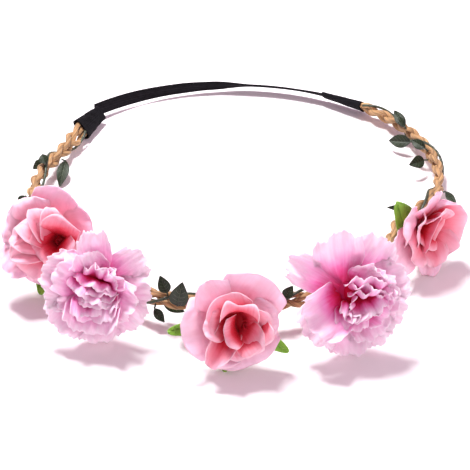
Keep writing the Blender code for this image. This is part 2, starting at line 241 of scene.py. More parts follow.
def makeStreakGroup():
    # Fine streaks that run along V of a piece's UV map.
    tree, entry, leave = newGroup("fineStreaks", [("Vector", "NodeSocketVector", None),
                                                  ("Across", "NodeSocketFloat", 30.0),
                                                  ("Along", "NodeSocketFloat", 2.0),
                                                  ("Detail", "NodeSocketFloat", 3.0)],
                                  [("Factor", "NodeSocketFloat")])
    parts = addNode(tree, "ShaderNodeSeparateXYZ")
    tree.links.new(entry.outputs["Vector"], parts.inputs[0])
    joined = addNode(tree, "ShaderNodeCombineXYZ")
    tree.links.new(mathNode(tree, "MULTIPLY", parts.outputs[0], entry.outputs["Across"]), joined.inputs[0])
    tree.links.new(mathNode(tree, "MULTIPLY", parts.outputs[1], entry.outputs["Along"]), joined.inputs[1])
    texture = addNode(tree, "ShaderNodeTexNoise", {"Scale": 1.0, "Roughness": 0.6})
    tree.links.new(joined.outputs[0], texture.inputs["Vector"])
    tree.links.new(entry.outputs["Detail"], texture.inputs["Detail"])
    tree.links.new(texture.outputs[0], leave.inputs["Factor"])
    return tree


def makeMottleGroup():
    # Cloudy variation of tone in the piece's own space.
    tree, entry, leave = newGroup("softMottle", [("Vector", "NodeSocketVector", None),
                                                 ("Scale", "NodeSocketFloat", 60.0),
                                                 ("Low", "NodeSocketFloat", 0.9),
                                                 ("High", "NodeSocketFloat", 1.08)],
                                  [("Tone", "NodeSocketFloat")])
    texture = addNode(tree, "ShaderNodeTexNoise", {"Detail": 4.0, "Roughness": 0.55})
    tree.links.new(entry.outputs["Vector"], texture.inputs["Vector"])
    tree.links.new(entry.outputs["Scale"], texture.inputs["Scale"])
    spread = addNode(tree, "ShaderNodeMapRange", {1: 0.3, 2: 0.7})
    tree.links.new(texture.outputs[0], spread.inputs[0])
    tree.links.new(entry.outputs["Low"], spread.inputs[3])
    tree.links.new(entry.outputs["High"], spread.inputs[4])
    tree.links.new(spread.outputs[0], leave.inputs["Tone"])
    return tree


def makeRimGroup():
    # 1 at a petal's or leaf's rim and 0 inside it, from its UV map; it places the painted highlight along the petal
    # edges.
    tree, entry, leave = newGroup("rimHighlightMask", [("Vector", "NodeSocketVector", None),
                                              ("Width", "NodeSocketFloat", 0.05)],
                                  [("Mask", "NodeSocketFloat")])
    parts = addNode(tree, "ShaderNodeSeparateXYZ")
    tree.links.new(entry.outputs["Vector"], parts.inputs[0])
    side = mathNode(tree, "ABSOLUTE", mathNode(tree, "SUBTRACT", mathNode(tree, "MULTIPLY", parts.outputs[0], 2.0), 1.0))
    gap = mathNode(tree, "MULTIPLY", mathNode(tree, "SUBTRACT", 1.0, side), parts.outputs[1])
    nearest = mathNode(tree, "MINIMUM", gap, mathNode(tree, "SUBTRACT", 1.0, parts.outputs[1]))
    share = mathNode(tree, "DIVIDE", nearest, entry.outputs["Width"], clamp=True)
    aboveFoot = mapRange(tree, parts.outputs[1], 0.15, 0.45)
    mask = mathNode(tree, "MULTIPLY", mathNode(tree, "SUBTRACT", 1.0, share), aboveFoot)
    tree.links.new(mask, leave.inputs["Mask"])
    return tree


weaveGroup = makeWeaveGroup()
streakGroup = makeStreakGroup()
mottleGroup = makeMottleGroup()
rimHighlightGroup = makeRimGroup()


def startMaterial(name, sockets):
    # A material with its Principled shader, UV and object coordinates ready.
    material = bpy.data.materials.new(name)
    material.use_nodes = True
    tree = material.node_tree
    shader = tree.nodes["Principled BSDF"]
    for key, value in sockets.items():
        shader.inputs[key].default_value = value
    place = addNode(tree, "ShaderNodeTexCoord")
    return material, tree, shader, place.outputs["UV"], place.outputs["Object"]


def addBump(tree, shader, height, distance, strength=1.0, before=None):
    bump = addNode(tree, "ShaderNodeBump", {"Distance": distance, "Strength": strength})
    tree.links.new(height, bump.inputs["Height"])
    if before is not None:
        tree.links.new(before.outputs[0], bump.inputs["Normal"])
    tree.links.new(bump.outputs[0], shader.inputs["Normal"])
    return bump


def toned(tree, colour, tone):
    # A colour times a tone.
    node = addNode(tree, "ShaderNodeVectorMath", operation="SCALE")
    tree.links.new(colour, node.inputs[0])
    tree.links.new(tone, node.inputs["Scale"])
    return node.outputs[0]


def petalMaterial(name, stops, rim, look):
    # Stamped satin: darker towards the base, partly dye and partly painted shade in the folds, paler to the rim, with
    # radial creases and a fine weave.
    material, tree, shader, uv, place = startMaterial(name, {
        "Sheen Weight": look["sheen"], "Sheen Roughness": 0.4, "Subsurface Weight": look["glow"],
        "Subsurface Scale": 0.0006, "Subsurface Radius": (1.0, 0.7, 0.8), "Specular IOR Level": 0.3})
    streaks = useGroup(tree, streakGroup, uv, Across=look["streaks"], Along=1.6).outputs[0]
    cloud = useGroup(tree, mottleGroup, place, Scale=look["cloud"], Low=-0.09, High=0.09).outputs[0]
    parts = addNode(tree, "ShaderNodeSeparateXYZ")
    tree.links.new(uv, parts.inputs[0])
    shifted = mathNode(tree, "ADD", parts.outputs[1], cloud)
    shifted = mathNode(tree, "ADD", shifted, mapRange(tree, streaks, 0.3, 0.7, -look["bleed"], look["bleed"]))
    colour = ramp(tree, shifted, stops)
    # Pale rim colour: a painted highlight along the thin petal edges, where light catches them and shines through.
    rimHighlightMask = useGroup(tree, rimHighlightGroup, uv, Width=look["rimWidth"]).outputs[0]
    colour = mixColour(tree, mathNode(tree, "MULTIPLY", rimHighlightMask, look["rimHighlightStrength"]), colour, rim)
    colour = toned(tree, colour, mapRange(tree, streaks, 0.3, 0.75, 0.975, 1.02))
    tree.links.new(colour, shader.inputs["Base Color"])
    rough = mapRange(tree, streaks, 0.3, 0.7, look["roughness"] - 0.06, look["roughness"] + 0.08)
    tree.links.new(rough, shader.inputs["Roughness"])
    weave = useGroup(tree, weaveGroup, uv, Threads=look["threads"]).outputs[0]
    creases = addBump(tree, shader, streaks, look["crease"])
    addBump(tree, shader, weave, 0.00005, 0.5, creases)
    return material


roseLook = {"sheen": 0.02, "glow": 0.4, "streaks": 14.0, "cloud": 90.0, "bleed": 0.03, "rimWidth": 0.04,
            "rimHighlightStrength": 0.85, "roughness": 0.5, "threads": 120.0, "crease": 0.00012}
# Petal ramps run from the base (0) to the tip (1). Their dark base is partly dye and partly painted shade deep in the
# folds; the Heart and Deep sets are darker copies, painted shade for the bud and the inward faces.
roseHeartStops = ((0.0, (0.22, 0.002, 0.006)), (0.6, (0.42, 0.006, 0.016)), (1.0, (0.66, 0.030, 0.060)))
roseDeepStops = ((0.0, (0.30, 0.003, 0.010)), (0.40, (0.60, 0.012, 0.032)), (0.62, (0.80, 0.07, 0.12)),
                 (0.82, (0.93, 0.27, 0.35)), (1.0, (0.98, 0.50, 0.59)))
roseStops = ((0.0, (0.50, 0.006, 0.016)), (0.34, (0.80, 0.05, 0.09)), (0.56, (0.92, 0.23, 0.31)),
             (0.78, (0.96, 0.42, 0.51)), (1.0, (0.98, 0.56, 0.66)))
roseOuterStops = ((0.0, (0.82, 0.08, 0.14)), (0.28, (0.92, 0.28, 0.36)), (0.50, (0.95, 0.47, 0.57)),
                  (0.76, (0.97, 0.60, 0.71)), (1.0, (0.98, 0.68, 0.81)))
# Rose rim colour: painted highlight on the petal edges.
roseRimHighlight = (0.99, 0.62, 0.68)
carnationLook = {"sheen": 0.02, "glow": 0.6, "streaks": 20.0, "cloud": 80.0, "bleed": 0.05, "rimWidth": 0.035,
                 "rimHighlightStrength": 0.6, "roughness": 0.55, "threads": 110.0, "crease": 0.0002}
# Carnation ramps: the hot base is partly dye and partly painted shade deep in the ruffles; the Deep set is a darker
# copy, painted shade for the inward faces.
carnationDeepStops = ((0.0, (0.66, 0.001, 0.04)), (0.36, (0.88, 0.03, 0.18)), (0.58, (0.94, 0.18, 0.48)),
                      (0.80, (0.96, 0.44, 0.69)), (1.0, (0.98, 0.70, 0.84)))
carnationStops = ((0.0, (0.84, 0.006, 0.09)), (0.28, (0.93, 0.08, 0.32)), (0.50, (0.95, 0.32, 0.62)),
                  (0.74, (0.97, 0.54, 0.74)), (1.0, (0.98, 0.72, 0.85)))
carnationOuterStops = ((0.0, (0.93, 0.05, 0.24)), (0.28, (0.95, 0.20, 0.46)), (0.48, (0.96, 0.42, 0.66)),
                       (0.72, (0.97, 0.62, 0.78)), (1.0, (0.98, 0.76, 0.87)))
# Carnation rim colour: painted highlight on the ruffled petal edges.
carnationRimHighlight = (0.99, 0.78, 0.89)


def cordMaterial():
    # Twisted paper cord: pale ridges, brown grooves darkened with painted shade, fine fibres along the twist.
    material, tree, shader, uv, place = startMaterial("braidPaper", {"Sheen Weight": 0.1})
    parts = addNode(tree, "ShaderNodeSeparateXYZ")
    tree.links.new(uv, parts.inputs[0])
    twisted = mathNode(tree, "SUBTRACT", parts.outputs[0], mathNode(tree, "MULTIPLY", parts.outputs[1], 26.0))
    joined = addNode(tree, "ShaderNodeCombineXYZ")
    tree.links.new(twisted, joined.inputs[0])
    tree.links.new(parts.outputs[1], joined.inputs[1])
    fibres = useGroup(tree, streakGroup, joined.outputs[0], Across=16.0, Along=30.0, Detail=4.0).outputs[0]
    grooveShade = mathNode(tree, "SINE", mathNode(tree, "MULTIPLY", twisted, 2 * math.pi * 3))
    colour = ramp(tree, fibres, ((0.25, (0.15, 0.065, 0.022)), (0.42, (0.38, 0.20, 0.075)),
                                 (0.60, (0.56, 0.34, 0.15)), (0.80, (0.72, 0.50, 0.28))))
    tone = useGroup(tree, mottleGroup, place, Scale=90.0, Low=0.72, High=1.14).outputs[0]
    colour = toned(tree, colour, tone)
    # Painted shade: the tone drops to 0.66 in the grooves between the plies.
    colour = toned(tree, colour, mapRange(tree, grooveShade, -1.0, 0.2, 0.66, 1.04))
    tree.links.new(colour, shader.inputs["Base Color"])
    tree.links.new(mapRange(tree, fibres, 0.3, 0.7, 0.72, 0.5), shader.inputs["Roughness"])
    addBump(tree, shader, fibres, 0.0005)
    return material


def vineMaterial():
    # Dark green tape wound on wire.
    material, tree, shader, uv, place = startMaterial("vineTape", {})
    parts = addNode(tree, "ShaderNodeSeparateXYZ")
    tree.links.new(uv, parts.inputs[0])
    wound = mathNode(tree, "ADD", parts.outputs[0], mathNode(tree, "MULTIPLY", parts.outputs[1], 150.0))
    seam = mapRange(tree, mathNode(tree, "FLOORED_MODULO", wound, 1.0), 0.0, 0.25)
    tone = useGroup(tree, mottleGroup, place, Scale=200.0, Low=0.7, High=1.4).outputs[0]
    colour = toned(tree, mixColour(tree, seam, (0.012, 0.016, 0.010), (0.040, 0.055, 0.030)), tone)
    tree.links.new(colour, shader.inputs["Base Color"])
    tree.links.new(mapRange(tree, seam, 0.0, 1.0, 0.7, 0.42), shader.inputs["Roughness"])
    addBump(tree, shader, seam, 0.0001)
    return material


def leafMaterial(name, stops, vein, look):
    # Dyed leaf with a midrib and side veins pressed in.
    material, tree, shader, uv, place = startMaterial(name, {
        "Coat Weight": look["coat"], "Coat Roughness": 0.25, "Specular IOR Level": look["specular"]})
    parts = addNode(tree, "ShaderNodeSeparateXYZ")
    tree.links.new(uv, parts.inputs[0])
    side = mathNode(tree, "ABSOLUTE", mathNode(tree, "SUBTRACT", mathNode(tree, "MULTIPLY", parts.outputs[0], 2.0), 1.0))
    rib = mapRange(tree, side, 0.0, look["ribWidth"], 1.0, 0.0)
    slanted = mathNode(tree, "SUBTRACT", parts.outputs[1], mathNode(tree, "MULTIPLY", side, 0.28))
    wave = mathNode(tree, "SINE", mathNode(tree, "MULTIPLY", slanted, look["veins"] * 2 * math.pi))
    sideVein = mathNode(tree, "MULTIPLY", mapRange(tree, wave, 0.86, 1.0), mapRange(tree, side, 0.85, 0.5))
    lines = mathNode(tree, "MAXIMUM", rib, mathNode(tree, "MULTIPLY", sideVein, 0.6))
    cloud = useGroup(tree, mottleGroup, place, Scale=140.0, Low=-0.18, High=0.18).outputs[0]
    colour = ramp(tree, mathNode(tree, "ADD", parts.outputs[1], cloud), stops)
    colour = mixColour(tree, mathNode(tree, "MULTIPLY", lines, look["veinStrength"]), colour, vein)
    tree.links.new(colour, shader.inputs["Base Color"])
    tree.links.new(mapRange(tree, cloud, -0.18, 0.18, look["roughness"] - 0.08, look["roughness"] + 0.08),
                   shader.inputs["Roughness"])
    pressed = addBump(tree, shader, lines, 0.0003)
    weave = useGroup(tree, weaveGroup, uv, Threads=60.0).outputs[0]
    addBump(tree, shader, weave, 0.00004, 0.5, pressed)
    return material


def clothMaterial(name, thread, gap, threads, rib, depth):
    # Black woven tape: threads with darker gaps, a little lint, ribs along its length.
    material, tree, shader, uv, place = startMaterial(name, {"Specular IOR Level": 0.12})
    stretch = addNode(tree, "ShaderNodeMapping")
    stretch.inputs["Scale"].default_value = (threads[0], threads[1], 1)
    tree.links.new(uv, stretch.inputs["Vector"])
    weave = useGroup(tree, weaveGroup, stretch.outputs[0], Threads=1.0).outputs[0]
    parts = addNode(tree, "ShaderNodeSeparateXYZ")
    tree.links.new(uv, parts.inputs[0])
    ribs = mathNode(tree, "ABSOLUTE", mathNode(tree, "SINE", mathNode(tree, "MULTIPLY", parts.outputs[0], rib * math.pi)))
    lint = useGroup(tree, mottleGroup, place, Scale=400.0, Low=0.7, High=1.5).outputs[0]
    colour = toned(tree, mixColour(tree, weave, gap, thread), lint)
    tree.links.new(colour, shader.inputs["Base Color"])
    tree.links.new(mapRange(tree, weave, 0.0, 1.0, 0.95, 0.68), shader.inputs["Roughness"])
    ribbed = addBump(tree, shader, ribs, depth)
    addBump(tree, shader, weave, 0.00012, 0.8, ribbed)
    return material


materials = {
    "roseHeart": petalMaterial("roseSatinHeart", roseHeartStops, roseRimHighlight, {**roseLook, "rimHighlightStrength": 0.0}),
    "roseDeep": petalMaterial("roseSatinDeep", roseDeepStops, roseRimHighlight, roseLook),
    "rose": petalMaterial("roseSatin", roseStops, roseRimHighlight, roseLook),
    "roseOuter": petalMaterial("roseSatinPale", roseOuterStops, roseRimHighlight, roseLook),
    "carnationDeep": petalMaterial("carnationVoileDeep", carnationDeepStops, carnationRimHighlight, carnationLook),
    "carnation": petalMaterial("carnationVoile", carnationStops, carnationRimHighlight, carnationLook),
    "carnationOuter": petalMaterial("carnationVoilePale", carnationOuterStops, carnationRimHighlight, carnationLook),
    "braid": cordMaterial(),
    "vine": vineMaterial(),
    "leaf": leafMaterial("leafDark", ((0.0, (0.008, 0.014, 0.006)), (0.5, (0.018, 0.032, 0.013)),
                                      (1.0, (0.012, 0.022, 0.009))), (0.17, 0.22, 0.12),
                         {"coat": 0.06, "ribWidth": 0.07, "veins": 6.0, "veinStrength": 0.65, "roughness": 0.34,
                          "specular": 0.3}),
    "sepal": leafMaterial("sepalBright", ((0.0, (0.02, 0.06, 0.008)), (0.45, (0.06, 0.17, 0.018)),
                                          (0.75, (0.17, 0.42, 0.04)), (1.0, (0.26, 0.56, 0.06))),
                          (0.30, 0.55, 0.12), {"coat": 0.02, "ribWidth": 0.12, "veins": 5.0,
                                               "veinStrength": 0.3, "roughness": 0.55, "specular": 0.3}),
    "calyx": leafMaterial("calyxGreen", ((0.0, (0.02, 0.055, 0.01)), (0.5, (0.04, 0.12, 0.018)),
                                         (1.0, (0.07, 0.22, 0.03))), (0.10, 0.26, 0.05),
                          {"coat": 0.05, "ribWidth": 0.05, "veins": 4.0, "veinStrength": 0.3, "roughness": 0.5,
                            "specular": 0.3}),
    "strap": clothMaterial("elasticWoven", (0.009, 0.008, 0.011), (0.002, 0.002, 0.003), (60.0, 320.0), 14.0, 0.00012),
    "sleeve": clothMaterial("sleeveWoven", (0.007, 0.007, 0.009), (0.002, 0.002, 0.003), (50.0, 60.0), 2.0, 0.00005),
}
print("materials made:", len(materials))


def newShape():
    shape = bmesh.new()
    shape.loops.layers.uv.new("UVMap")
    return shape


def addGrid(shape, across, along):
    # A unit grid with UVs; returns its vertices with their places in it, u and v from 0 to 1.
    made = bmesh.ops.create_grid(shape, x_segments=across, y_segments=along, size=1, calc_uvs=True)["verts"]
    return [(vertex, (vertex.co.x + 1) / 2, (vertex.co.y + 1) / 2) for vertex in made]


def makePiece(name, shape, material, replaced, body="crown", thickness=0.0, close=False, ride=True,
              inside=None):
    # Finishes a shape as a piece of the object that stands for CAD nodes.
    if close:
        bmesh.ops.remove_doubles(shape, verts=shape.verts, dist=0.002 * mm)
        bmesh.ops.holes_fill(shape, edges=[e for e in shape.edges if e.is_boundary], sides=0)
        bmesh.ops.recalc_face_normals(shape, faces=shape.faces)
    mesh = bpy.data.meshes.new(name)
    shape.to_mesh(mesh)
    shape.free()
    mesh.shade_smooth()
    mesh.materials.append(materials[material])
    piece = bpy.data.objects.new(name, mesh)
    bpy.context.scene.collection.objects.link(piece)
    if thickness:
        wall = piece.modifiers.new("thickness", "SOLIDIFY")
        wall.thickness = thickness
        wall.offset = 0
        if inside is not None:
            mesh.materials.append(materials[inside])
            wall.material_offset = 1
    if ride:
        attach(piece, body)
    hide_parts(*([replaced] if isinstance(replaced, str) else replaced))
    return piece


def addTube(shape, rings, sides, outline):
    # A grid rolled into a tube. rings holds (point, out, wide); outline gives an offset from turn and share.
    last = len(rings) - 1
    for vertex, u, v in addGrid(shape, sides, last):
        point, out, wide = rings[round(v * last)]
        x, y = outline(u * 2 * math.pi, v)
        vertex.co = point + out * x + wide * y


def parallelRings(points):
    # Rings along points, turned no more than the points turn.
    rings = []
    side = None
    for i, point in enumerate(points):
        run = (points[min(i + 1, len(points) - 1)] - points[max(i - 1, 0)]).normalized()
        if side is None:
            side = run.orthogonal().normalized()
        side = (side - run * side.dot(run)).normalized()
        rings.append((point, side, run.cross(side)))
    return rings


# The braid: three paper cords plaited flat
braid = {
    "radius": 1.22 * mm,
    "sway": 2.25 * mm,
    "endSway": 3.0 * mm,
    "lift": 1.12 * mm,
    "pitch": 30 * mm,
    "lead": 4 * mm,
    "pocket": 5 * mm,
    "flatness": 0.90,
    "sides": 18,
    "step": 0.45 * mm,
    "plyDepth": 0.035,
    "plies": 3,
    "twistPitch": 15 * mm,
}


def strandPoints(lane):
    braided = bandLength - 2 * braid["lead"]
    waves = round(braided / braid["pitch"] * 6) / 6
    points = []

    def offset(share, out, wide, lift):
        phase = 2 * math.pi * (waves * share + lane / 3)
        sway = mix(braid["endSway"], braid["sway"], ease(min(share, 1 - share) * 20))
        return wide * sway * math.sin(phase) + out * lift * math.sin(2 * phase)

    for depth in (braid["pocket"], braid["pocket"] / 2, 0.3 * mm):
        start, _, axis, out, wide = leftSleeve
        points.append(start + axis * depth + offset(0, out, wide, 0))
    count = int(braided / braid["step"])
    for i in range(count + 1):
        length = braid["lead"] + braided * i / count
        point, _, out, wide = bandFrame(angleAt(bandTable, length))
        points.append(point + offset(i / count, out, wide, braid["lift"]))
    for depth in (0.3 * mm, braid["pocket"] / 2, braid["pocket"]):
        start, _, axis, out, wide = rightSleeve
        points.append(start + axis * depth + offset(1, out, wide, 0))
    return points


def makeBraid():
    for lane in range(3):
        shape = newShape()
        points = strandPoints(lane)
        length = sum((b - a).length for a, b in zip(points, points[1:]))
        turns = length / braid["twistPitch"]

        def outline(turn, share):
            ply = math.cos(braid["plies"] * (turn - 2 * math.pi * turns * share / braid["plies"]))
            uneven = noise.noise(Vector((math.cos(turn), math.sin(turn), share * 60 + lane * 9)))
            radius = braid["radius"] * (1 + braid["plyDepth"] * ply + 0.07 * uneven)
            return radius * math.cos(turn), radius * math.sin(turn)

        addTube(shape, parallelRings(points), braid["sides"], outline)
        makePiece(f"paper_cord_{lane + 1}", shape, "braid", f"braid_strand_{lane + 1}", close=True)


makeBraid()
print("braid made")

# The vine's wire, wound round the braid
vine = {
    "radius": 0.6 * mm,
    "halfWidth": 3.7 * mm,
    "halfDepth": 2.9 * mm,
    "pitch": 46 * mm,
    "endGap": 1.5 * mm,
    "start": 200,
    "sides": 10,
    "step": 0.8 * mm,
}
clearOfBand = 6.8125 * mm  # from the band's middle to a leaf's or a stem's foot


def makeVine():
    shape = newShape()
    length = bandLength - 2 * vine["endGap"]
    count = int(length / vine["step"])
    points = []
    for i in range(count + 1):
        point, _, out, wide = bandFrame(angleAt(bandTable, vine["endGap"] + length * i / count))
        phase = 2 * math.pi * length * i / count / vine["pitch"] + math.radians(vine["start"])
        points.append(point + wide * vine["halfWidth"] * math.sin(phase) + out * vine["halfDepth"] * math.cos(phase))

    def outline(turn, share):
        radius = vine["radius"] * (1 + 0.08 * math.cos(turn + share * length / (2.6 * mm) * 2 * math.pi))
        return radius * math.cos(turn), radius * math.sin(turn)

    addTube(shape, parallelRings(points), vine["sides"], outline)
    makePiece("vine_wire", shape, "vine", "vine_stem", close=True)


makeVine()

# Leaves: angle round the band, clock of the foot, tip from foot in mm (along, out, up), width in mm
leaves = (
    (-101, 195, (13, -4, -4), 5.6),
    (-91, 110, (-3, 3, 3), 4.6),
    (-98, -15, (5, 3, -2), 4.4),
    (-75, 60, (5, 3, -1), 4.0),
    (-16, 75, (-2, 1, 8), 5.0),
    (-13, 20, (3, 3, 13), 7.5),
    (-18, -120, (9, 1, -2), 4.5),
    (-19, -50, (5, 3, -3), 3.8),
    (12, 60, (3, 0, 5), 4.4),
    (66, 80, (-8, -7, 1), 3.0),
    (80, 20, (-8, 7, -1), 3.4),
    (116, 130, (9, 0, 5), 4.8),
    (110, 175, (7, -8, -1), 6.4),
    (98, 180, (-4, -7, 1), 6.0),
    (101, 130, (6, -5, 2), 4.6),
)
leafShape = {
    "thickness": 0.28 * mm,
    "facing": Vector((0, -0.81, 0.59)),
    "cup": 0.14,
    "widest": 0.85,
    "curl": 0.10,
    "wave": 0.035,
    "fromBand": 4.7 * mm,
    "stalk": 2.2 * mm,
    "stalkRadius": 0.38 * mm,
}


def makeLeaf(number, angle, clock, tip, width):
    foot, run, level, rise = besideBand(angle, clock, leafShape["fromBand"])
    reach = (run * tip[0] + level * tip[1] + rise * tip[2]) * mm
    way = reach.normalized()
    face = (leafShape["facing"] - way * way.dot(leafShape["facing"])).normalized()
    side = way.cross(face)
    length, width = reach.length, width * mm
    shape = newShape()
    for vertex, u, v in addGrid(shape, 14, 24):
        across = u * 2 - 1
        fullness = 0.05 + 0.95 * math.sin(math.pi * v ** leafShape["widest"]) ** 0.9 if 0 < v < 1 else 0.05
        x = across * fullness * width / 2
        groove = -0.05 * math.exp(-((across / 0.12) ** 2)) * fullness
        lift = leafShape["cup"] * (abs(across) * fullness - v * v) + groove
        lift += leafShape["wave"] * math.sin(v * 9 + number) * abs(across) ** 2 - leafShape["curl"] * ease(v * 2 - 1)
        vertex.co = foot + side * x + way * v * length + face * lift * width
    mesh = makePiece(f"leaf_blade_{number:02d}", shape, "leaf", f"vine_leaf_{number:02d}",
                     thickness=leafShape["thickness"])
    middle = ovalPoint(angle)
    inward = (middle - foot).normalized()
    points = [foot + way * (0.5 * mm), foot - way * (0.3 * mm) + inward * (0.3 * mm)]
    points += [foot + inward * leafShape["stalk"] * share for share in (0.3, 0.6, 1.0)]
    stalk = newShape()
    addTube(stalk, parallelRings(points), 8,
            lambda turn, share: (leafShape["stalkRadius"] * math.cos(turn), leafShape["stalkRadius"] * math.sin(turn)))
    bmesh.ops.remove_doubles(stalk, verts=stalk.verts, dist=0.002 * mm)
    bmesh.ops.holes_fill(stalk, edges=[e for e in stalk.edges if e.is_boundary], sides=0)
    bmesh.ops.recalc_face_normals(stalk, faces=stalk.faces)
    extra = bpy.data.meshes.new(f"leaf_stalk_{number:02d}")
    stalk.to_mesh(extra)
    stalk.free()
    extra.shade_smooth()
    extra.materials.append(materials["vine"])
    piece = bpy.data.objects.new(f"leaf_stalk_{number:02d}", extra)
    bpy.context.scene.collection.objects.link(piece)
    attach(piece, "crown")
    return mesh


for leafNumber, leaf in enumerate(leaves, 1):
    makeLeaf(leafNumber, *leaf)
print("vine and leaves made")

# The sleeves and the elastic
sleeve = {
    "halfWidth": 5.45 * mm,
    "halfThickness": 2.45 * mm,
    "taper": 0.68,
    "endThickness": 0.72,
    "wall": 0.55 * mm,
    "hem": 1.4 * mm,
    "hemStep": 0.10 * mm,
    "pucker": 0.16 * mm,
    "sides": 72,
    "rings": 44,
}
strap = {
    "halfWidth": 3.0 * mm,
    "halfThickness": 0.45 * mm,
    "pocket": 5 * mm,
    "sides": 56,
    "rings": 260,
    "ribs": 7,
    "ribDepth": 0.035 * mm,
    "leans": ((151, -48), (160, -54), (174, -53), (187, -16), (197, -2), (226, 40)),
    "deepest": 190,
}


def flatOutline(turn, halfThickness, halfWidth, squareness):
    # A point on a flattened rounded outline; a squareness of 2 is an ellipse.
    x, y = math.cos(turn), math.sin(turn)
    return (halfThickness * math.copysign(abs(x) ** (2 / squareness), x),
            halfWidth * math.copysign(abs(y) ** (2 / squareness), y))


def makeSleeve(side, ends, girth):
    start, stop, axis, out, wide = ends
    length = (stop - start).length
    shape = newShape()
    rings = [(start + axis * length * i / sleeve["rings"], out, wide) for i in range(sleeve["rings"] + 1)]

    def outline(turn, share):
        size = mix(girth, sleeve["taper"], share)
        x, y = flatOutline(turn, sleeve["halfThickness"] * size * mix(1, sleeve["endThickness"], share),
                           sleeve["halfWidth"] * size, 3.0)
        fromEnd = min(share, 1 - share) * length
        hem = sleeve["hemStep"] * (1 - ease((fromEnd - sleeve["hem"]) / (0.4 * mm)))
        pucker = sleeve["pucker"] * math.sin(turn * 7 + 2.5 * math.sin(share * 7)) * math.sin(math.pi * share)
        pucker += sleeve["pucker"] * noise.noise(Vector((math.cos(turn) * 2, math.sin(turn) * 2, share * 6)))
        away = Vector((x, y)).normalized() * (hem + pucker - sleeve["pucker"])
        return x + away.x, y + away.y

    addTube(shape, rings, sleeve["sides"], outline)
    bmesh.ops.remove_doubles(shape, verts=shape.verts, dist=0.002 * mm)
    bmesh.ops.recalc_face_normals(shape, faces=shape.faces)
    piece = makePiece(f"{side}_fabric_sleeve", shape, "sleeve", f"{side}_sleeve",
                      thickness=sleeve["wall"])
    piece.modifiers["thickness"].offset = -1
    return piece


def makeStrap():
    table = arcTable(band["rightSleeve"][1], band["leftSleeve"][1] + 360)
    length = table[-1][1]
    rings = []
    for depth in (strap["pocket"], strap["pocket"] / 2):
        _, stop, axis, out, wide = rightSleeve
        rings.append((stop - axis * depth, out, wide))
    for i in range(1, strap["rings"]):
        angle = angleAt(table, length * i / strap["rings"])
        point, run, _, _ = bandFrame(angle)
        rings.append((point, *sidesOf(run, leanIn(strap["leans"], angle))))
    for depth in (strap["pocket"] / 2, strap["pocket"]):
        _, stop, axis, out, wide = leftSleeve
        rings.append((stop - axis * depth, out, wide))
    shape = newShape()

    def outline(turn, share):
        x, y = flatOutline(turn, strap["halfThickness"], strap["halfWidth"], 5.0)
        rib = math.cos(math.pi * strap["ribs"] * y / strap["halfWidth"])
        return x * (1 + rib * strap["ribDepth"] / strap["halfThickness"]), y

    addTube(shape, rings, strap["sides"], outline)
    piece = makePiece("woven_elastic", shape, "strap", "elastic_strap", close=True, ride=False)
    # The middle between the sleeves, the way back from it and the strap's depth there are worked out but not used.
    middle = (leftSleeve[1] + rightSleeve[1]) / 2
    back = (leftSleeve[1] - rightSleeve[1]).cross(up).normalized()
    depth = (ovalPoint(strap["deepest"]) - middle).dot(back)
    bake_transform(piece)


for sleeveSide, sleevePlace, sleeveGirth in (("left", leftSleeve, 1.0), ("right", rightSleeve, 0.86)):
    makeSleeve(sleeveSide, sleevePlace, sleeveGirth)
makeStrap()
print("back made")

# Petals. Lengths are in mm, angles in degrees. A petal's line starts at (base, foot) from the flower's axis,
# leaves at rise[0] above the flower's face and ends at rise[1]; roll bends its last part back.
petalDefaults = {
    "base": 2.6, "foot": 8.0, "length": 17.0, "width": 20.0, "rise": (45, 5), "roll": 50, "rollFrom": 0.78,
    "neck": 0.25, "round": 0.30, "point": 0.0, "wrap": 0.0, "sideRoll": 1.2, "ruffle": 0.0, "waves": 3.0,
    "scallop": 0.0, "crumple": 0.5, "twist": 0.0, "sway": 0.0, "detail": (26, 26), "widest": 0.7, "phase": 0.0,
    "shift": (0, 0), "fold": 0.0,
}


